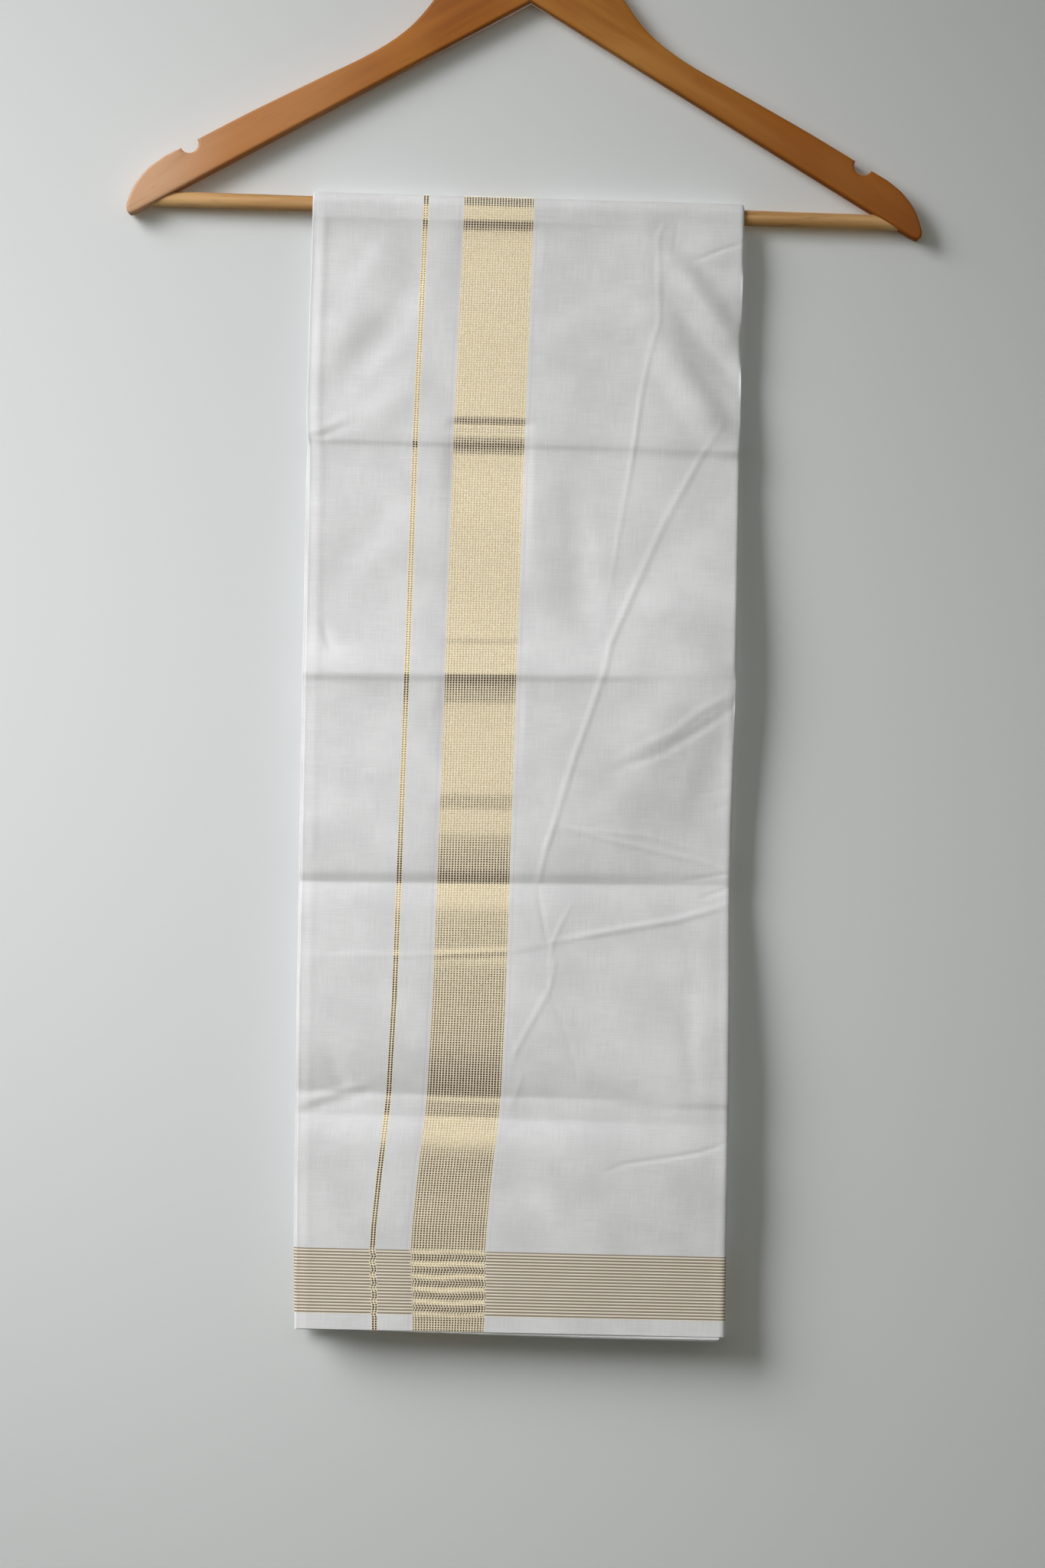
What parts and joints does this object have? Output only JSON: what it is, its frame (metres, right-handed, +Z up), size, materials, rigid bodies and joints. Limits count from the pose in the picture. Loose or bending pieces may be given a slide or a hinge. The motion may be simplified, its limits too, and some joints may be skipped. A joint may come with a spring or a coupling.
{
  "type": "folded dhoti cloth on a wooden hanger",
  "caption": "White cotton dhoti with woven gold bands, folded into a strip and hung over the bar of a wooden hanger.",
  "frame": {"origin": "the hook's seat, at the inside of the wire's top where it rests on a rail", "axes": "+X to the right as seen from the front, -Y the front, +Z up; the cloth hangs down -Z"},
  "size_m": [0.4444, 0.0208, 0.8498],
  "materials": {
    "dhoti_cotton": "matte",
    "arm_wood": "satin",
    "bar_wood": "matte",
    "hook_wire": "gloss"
  },
  "bodies": {
    "root": {"hanger_arm_left": "arm_wood", "hanger_arm_right": "arm_wood", "hanger_bar": "bar_wood", "hanger_hook": "hook_wire", "dhoti_outer_leaf": "dhoti_cotton", "dhoti_folded_layers": "dhoti_cotton"}
  },
  "joints": []
}
